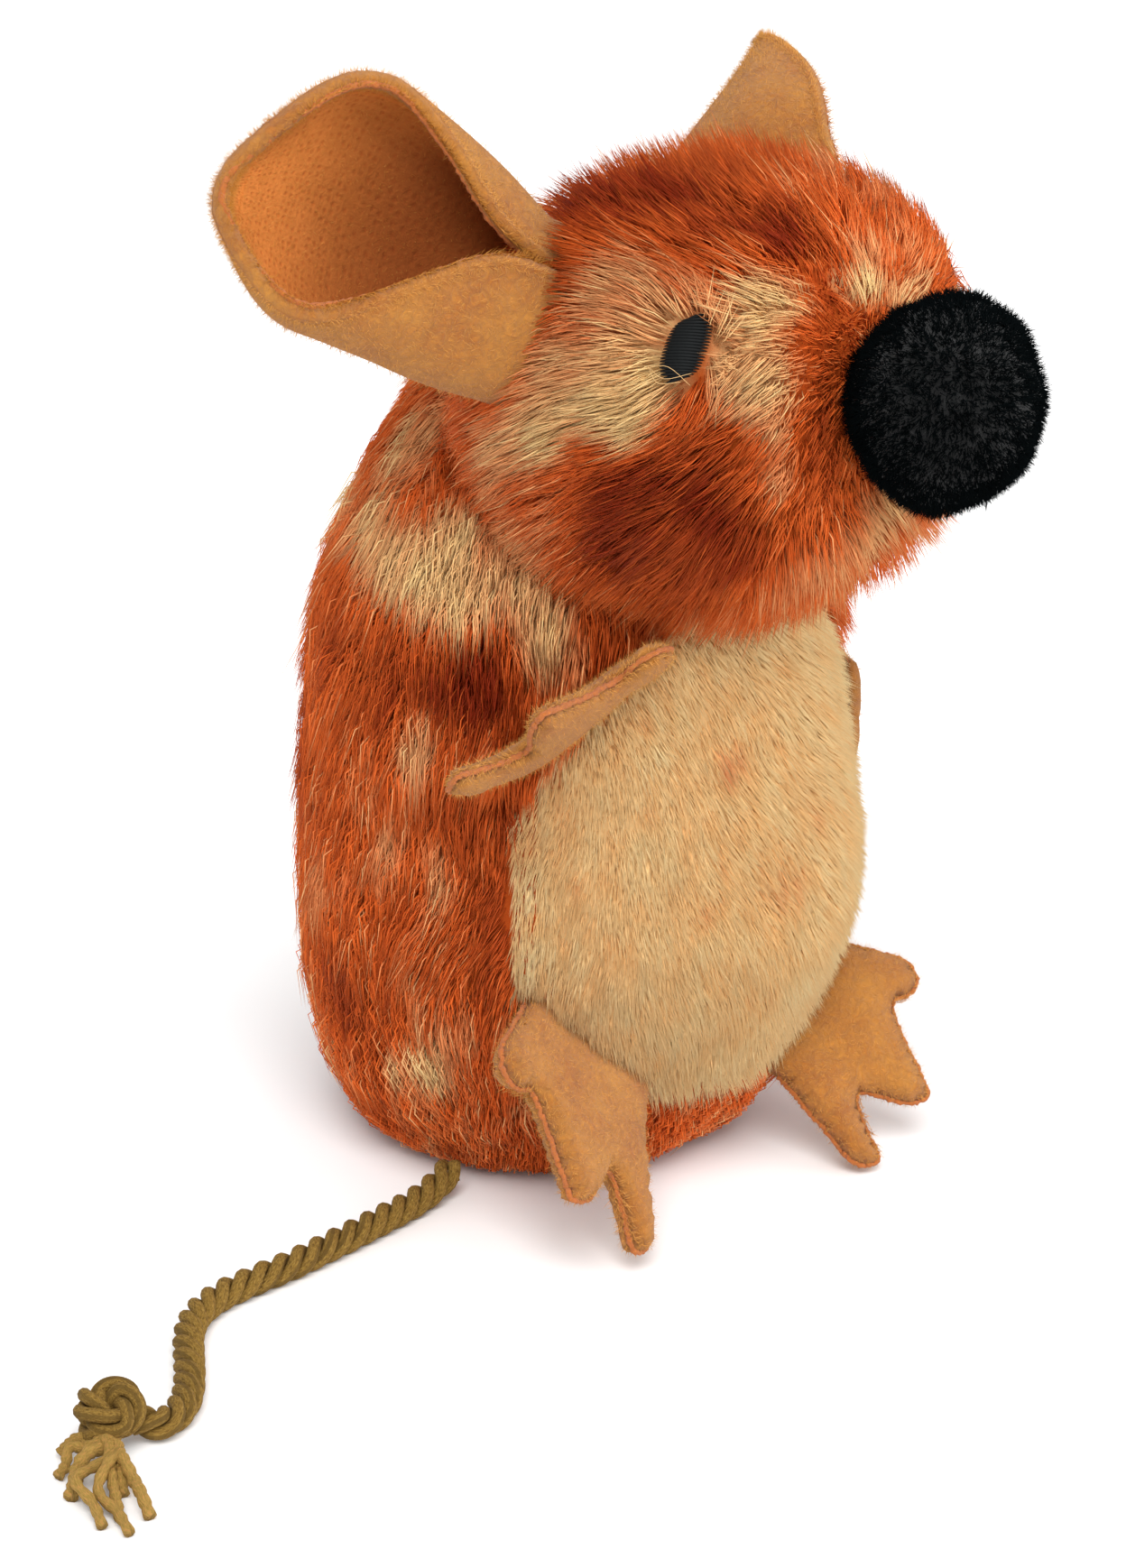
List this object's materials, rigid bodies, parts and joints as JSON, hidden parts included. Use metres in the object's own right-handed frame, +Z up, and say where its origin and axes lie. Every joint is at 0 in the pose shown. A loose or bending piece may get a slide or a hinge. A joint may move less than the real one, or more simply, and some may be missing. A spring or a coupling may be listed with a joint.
{
  "type": "plush mouse cat toy",
  "caption": "Upright sitting plush mouse for cats to bat and carry, with folded felt ears, felt paws, a black ball nose, a cream belly and a knotted twisted-cord tail",
  "frame": {"origin": "on the flat underside of the base panel, below the middle of the belly's axis", "axes": "+Z up the sitting body, -Y the way the mouse faces, -X its right side, where the tail leaves"},
  "size_m": [0.146, 0.0899, 0.127],
  "materials": {
    "fur_cloth": "long glossy rust-brown pile with cream patches, combed down the body",
    "short_plush": "short cream pile",
    "nose_plush": "black short pile",
    "felt_nap": "brushed tan felt",
    "felt_knit": "orange knitted side of the felt, with rows of fine dots",
    "eye_thread": "black satin embroidery thread",
    "tail_cord": "ochre twisted cotton cord",
    "polyester_fibre": "white loose fibre filling",
    "dried_catnip": "thin green-grey pouch of dried herb"
  },
  "bodies": {
    "body": {"back_panel_right": "fur_cloth", "back_panel_left": "fur_cloth", "base_panel": "fur_cloth", "belly_panel": "short_plush", "body_filling": "polyester_fibre", "catnip_sachet": "dried_catnip", "cheek_right": "fur_cloth", "cheek_left": "fur_cloth", "forehead_gusset": "fur_cloth", "head_filling": "polyester_fibre", "nose_cover": "nose_plush", "nose_filling": "polyester_fibre", "eye_right": "eye_thread", "eye_left": "eye_thread"},
    "ear_right": {"ear_right_back": "felt_nap", "ear_right_lining": "felt_knit"},
    "ear_left": {"ear_left_back": "felt_nap", "ear_left_lining": "felt_knit"},
    "hand_right": {"hand_right_upper": "felt_nap", "hand_right_under": "felt_nap"},
    "hand_left": {"hand_left_upper": "felt_nap", "hand_left_under": "felt_nap"},
    "foot_right": {"foot_right_upper": "felt_nap", "foot_right_under": "felt_nap"},
    "foot_left": {"foot_left_upper": "felt_nap", "foot_left_under": "felt_nap"},
    "tail": {"tail_cord": "tail_cord", "tail_knot": "tail_cord"}
  },
  "joints": [
    {"name": "ear_right_flap", "type": "hinge", "parent": "body", "child": "ear_right", "pos_m": [-0.0206, -0.0111, 0.1021], "axis": [-0.5259, -0.157, -0.8359], "range_deg": [-15, 15], "stiffness_Nm_per_rad": 0.01},
    {"name": "ear_left_flap", "type": "hinge", "parent": "body", "child": "ear_left", "pos_m": [0.0242, -0.0099, 0.0886], "axis": [0.579, 0.54, -0.611], "range_deg": [-15, 15], "stiffness_Nm_per_rad": 0.01},
    {"name": "hand_right_flap", "type": "hinge", "parent": "body", "child": "hand_right", "pos_m": [-0.0199, -0.0196, 0.06], "axis": [-0.7189, 0.4499, -0.5299], "range_deg": [-20, 20], "stiffness_Nm_per_rad": 0.005},
    {"name": "hand_left_flap", "type": "hinge", "parent": "body", "child": "hand_left", "pos_m": [0.0261, -0.0164, 0.0421], "axis": [-0.05, 0, -0.9987], "range_deg": [0, 70], "stiffness_Nm_per_rad": 0.005},
    {"name": "foot_right_flap", "type": "hinge", "parent": "body", "child": "foot_right", "pos_m": [-0.0203, -0.02, 0.0196], "axis": [0.4921, -0.3611, -0.7921], "range_deg": [-20, 20], "stiffness_Nm_per_rad": 0.005},
    {"name": "foot_left_flap", "type": "hinge", "parent": "body", "child": "foot_left", "pos_m": [0.0147, -0.0219, 0.015], "axis": [-0.7387, -0.1999, -0.6437], "range_deg": [-20, 20], "stiffness_Nm_per_rad": 0.005},
    {"name": "tail_swing", "type": "hinge", "parent": "body", "child": "tail", "pos_m": [-0.0238, -0.0036, 0.003], "axis": [0, 0, 1], "range_deg": [-30, 30]}
  ]
}
